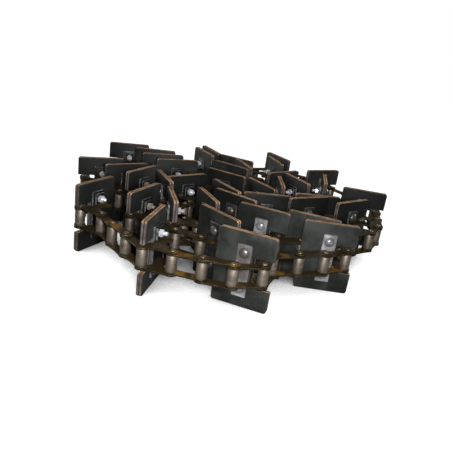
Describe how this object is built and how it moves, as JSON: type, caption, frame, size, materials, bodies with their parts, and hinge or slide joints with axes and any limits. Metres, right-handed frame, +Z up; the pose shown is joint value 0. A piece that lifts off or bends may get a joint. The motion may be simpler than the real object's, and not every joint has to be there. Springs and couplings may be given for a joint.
{
  "type": "paddle conveyor chain",
  "caption": "Rolled-up roller chain with rubber paddles bolted to winged links, as carried round the sprockets of a grain elevator",
  "frame": {"origin": "middle of the rolled strand's outline, on the surface that it stands on", "axes": "+Z up along the chain's pins, +Y away from the side with the swinging run, +X to the right of it; paddles point into the roll"},
  "size_m": [0.5796, 0.5805, 0.1076],
  "materials": {
    "chain_plate": "oiled brown steel",
    "roller_steel": "oiled beige-grey steel",
    "bush_steel": "oiled steel",
    "pin_steel": "oiled steel",
    "zinc_strap": "dull zinc plate",
    "zinc_fastener": "bright zinc plate",
    "paddle_rubber": "dark grey fabric-reinforced rubber"
  },
  "bodies": {
    "root": {"anchor_pin": "pin_steel", "anchor_plates": "chain_plate", "coil_backing_plates": "zinc_strap", "coil_bolts": "zinc_fastener", "coil_carrier_strap": "zinc_strap", "coil_front_ply": "paddle_rubber", "coil_front_strap": "zinc_strap", "coil_nuts": "zinc_fastener", "coil_pin_link_plates": "chain_plate", "coil_rear_ply": "paddle_rubber", "coil_roller_link_plates": "chain_plate", "coil_rollers": "roller_steel", "coil_winged_plates": "chain_plate"},
    "link_4": {"link_4_bushes": "bush_steel", "link_4_plates": "chain_plate"},
    "link_3": {"link_3_pins": "pin_steel", "link_3_plates": "chain_plate"},
    "link_2": {"link_2_bushes": "bush_steel", "link_2_plates": "chain_plate"},
    "link_1": {"link_1_pins": "pin_steel", "link_1_plates": "chain_plate", "paddle_backing_plates": "zinc_strap", "paddle_bolts": "zinc_fastener", "paddle_carrier_strap": "zinc_strap", "paddle_front_ply": "paddle_rubber", "paddle_front_strap": "zinc_strap", "paddle_nuts": "zinc_fastener", "paddle_rear_ply": "paddle_rubber"},
    "link_0": {"link_0_bushes": "bush_steel", "link_0_plates": "chain_plate"},
    "roller_0": {"roller_0": "roller_steel"},
    "roller_1": {"roller_1": "roller_steel"},
    "roller_2": {"roller_2": "roller_steel"},
    "roller_3": {"roller_3": "roller_steel"},
    "roller_4": {"roller_4": "roller_steel"},
    "roller_5": {"roller_5": "roller_steel"}
  },
  "joints": [
    {"name": "pin_5_fold", "type": "hinge", "parent": "root", "child": "link_4", "pos_m": [-0.1072, -0.2599, 0.0538], "axis": [0, 0, 1], "range_deg": [-6, 45]},
    {"name": "pin_4_fold", "type": "hinge", "parent": "link_4", "child": "link_3", "pos_m": [-0.13596, -0.23012, 0.0538], "axis": [0, 0, 1], "range_deg": [-3, 45]},
    {"name": "pin_3_fold", "type": "hinge", "parent": "link_3", "child": "link_2", "pos_m": [-0.16312, -0.19887, 0.0538], "axis": [0, 0, 1], "range_deg": [-3, 45]},
    {"name": "pin_2_fold", "type": "hinge", "parent": "link_2", "child": "link_1", "pos_m": [-0.18861, -0.16625, 0.0538], "axis": [0, 0, 1], "range_deg": [-3, 32]},
    {"name": "pin_1_fold", "type": "hinge", "parent": "link_1", "child": "link_0", "pos_m": [-0.22613, -0.14875, 0.0538], "axis": [0, 0, 1], "range_deg": [-8, 45]},
    {"name": "roller_0_turn", "type": "hinge", "parent": "link_0", "child": "roller_0", "pos_m": [-0.23823, -0.10916, 0.0538], "axis": [0, 0, 1], "continuous": true},
    {"name": "roller_1_turn", "type": "hinge", "parent": "link_0", "child": "roller_1", "pos_m": [-0.22613, -0.14875, 0.0538], "axis": [0, 0, 1], "continuous": true},
    {"name": "roller_2_turn", "type": "hinge", "parent": "link_2", "child": "roller_2", "pos_m": [-0.18861, -0.16625, 0.0538], "axis": [0, 0, 1], "continuous": true},
    {"name": "roller_3_turn", "type": "hinge", "parent": "link_2", "child": "roller_3", "pos_m": [-0.16312, -0.19887, 0.0538], "axis": [0, 0, 1], "continuous": true},
    {"name": "roller_4_turn", "type": "hinge", "parent": "link_4", "child": "roller_4", "pos_m": [-0.13596, -0.23012, 0.0538], "axis": [0, 0, 1], "continuous": true},
    {"name": "roller_5_turn", "type": "hinge", "parent": "link_4", "child": "roller_5", "pos_m": [-0.1072, -0.2599, 0.0538], "axis": [0, 0, 1], "continuous": true}
  ]
}
